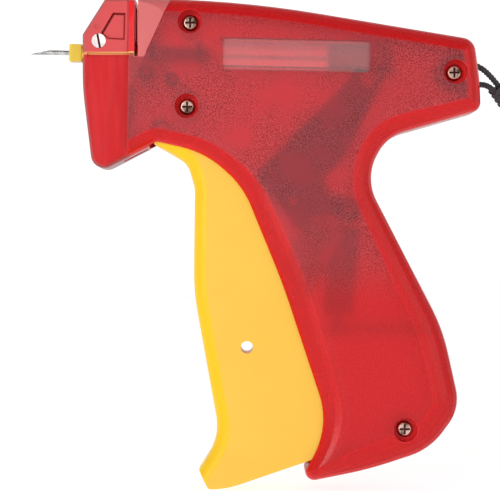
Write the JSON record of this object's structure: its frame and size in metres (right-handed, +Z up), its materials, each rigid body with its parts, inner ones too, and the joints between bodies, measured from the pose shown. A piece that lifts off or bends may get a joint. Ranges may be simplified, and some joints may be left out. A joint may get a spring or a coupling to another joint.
{
  "type": "garment tag attacher",
  "caption": "Pistol-grip hand tool with a hollow needle: pulling the long trigger pushes a plastic fastener through cloth. Translucent housing, wrist lanyard.",
  "frame": {"origin": "middle of the pistol grip, on the plane where the two shells meet", "axes": "+Z up along the tool's height, -X towards the needle, Y across the tool with the screw heads on the -Y side"},
  "size_m": [0.1641, 0.0321, 0.1614],
  "materials": {
    "housing_red": "translucent moulded plastic, finely frosted",
    "trigger_yellow": "satin moulded plastic",
    "base_yellow": "satin moulded plastic",
    "lever_dark": "moulded acetal",
    "slider_grey": "moulded acetal",
    "needle_steel": "drawn steel",
    "screw_steel": "zinc plated",
    "lock_silver": "zinc plated",
    "pin_steel": "ground steel",
    "spring_steel": "spring wire",
    "cord_black": "braided polyester"
  },
  "bodies": {
    "housing": {"near_shell": "housing_red", "far_shell": "housing_red", "housing_screws": "screw_steel", "needle": "needle_steel", "needle_base": "base_yellow", "trigger_pivot_pin": "pin_steel", "lever_pivot_pin": "pin_steel", "lever_bushes": "lever_dark", "spring_anchor_pin": "pin_steel", "rod_guide": "lever_dark", "cutter_blade": "pin_steel", "feed_wheel_axle": "pin_steel", "feed_pawl_pin": "pin_steel", "detent_spring": "spring_steel", "return_spring": "spring_steel", "lanyard_cord": "cord_black", "lanyard_knot": "cord_black"},
    "trigger_arm": {"trigger": "trigger_yellow", "trigger_pusher": "pin_steel"},
    "lever": {"drive_lever": "lever_dark", "lever_cross_pin": "pin_steel"},
    "rod_slider": {"slider": "slider_grey", "slider_pin": "pin_steel", "push_rod": "pin_steel"},
    "needle_lock": {"needle_lock_screw": "lock_silver"},
    "feed_gear": {"feed_wheel": "lever_dark"},
    "pawl": {"feed_pawl": "lever_dark"}
  },
  "joints": [
    {"name": "trigger_pull", "type": "hinge", "parent": "housing", "child": "trigger_arm", "pos_m": [-0.0659, 0, 0.0662], "axis": [0, -1, 0], "range_deg": [0, 12], "stiffness_Nm_per_rad": 1, "springref_deg": -14.32},
    {"name": "lever_swing", "type": "hinge", "parent": "housing", "child": "lever", "pos_m": [-0.0225, 0, 0.0425], "axis": [0, -1, 0], "range_deg": [0, 38.5], "deforming": ["return_spring"]},
    {"name": "rod_stroke", "type": "slide", "parent": "housing", "child": "rod_slider", "axis": [-0.9997, 0, 0.0236], "range_m": [0, 0.035]},
    {"name": "lock_turn", "type": "hinge", "parent": "housing", "child": "needle_lock", "pos_m": [-0.0862, 0, 0.0952], "axis": [0, -1, 0], "range_deg": [0, 90]},
    {"name": "feed_turn", "type": "hinge", "parent": "housing", "child": "feed_gear", "pos_m": [-0.0706, 0, 0.0849], "axis": [0, -1, 0], "range_deg": [0, 60]},
    {"name": "pawl_rock", "type": "hinge", "parent": "housing", "child": "pawl", "pos_m": [-0.062, 0, 0.0824], "axis": [0, -1, 0], "range_deg": [-6, 0]}
  ],
  "couplings": [
    {"joint": "lever_swing", "follows": "trigger_pull", "ratio": 3.2082},
    {"joint": "rod_stroke", "follows": "trigger_pull", "m_per_rad": 0.1671},
    {"joint": "feed_turn", "follows": "trigger_pull", "ratio": 4.9999},
    {"joint": "pawl_rock", "follows": "trigger_pull", "ratio": -0.4999}
  ]
}
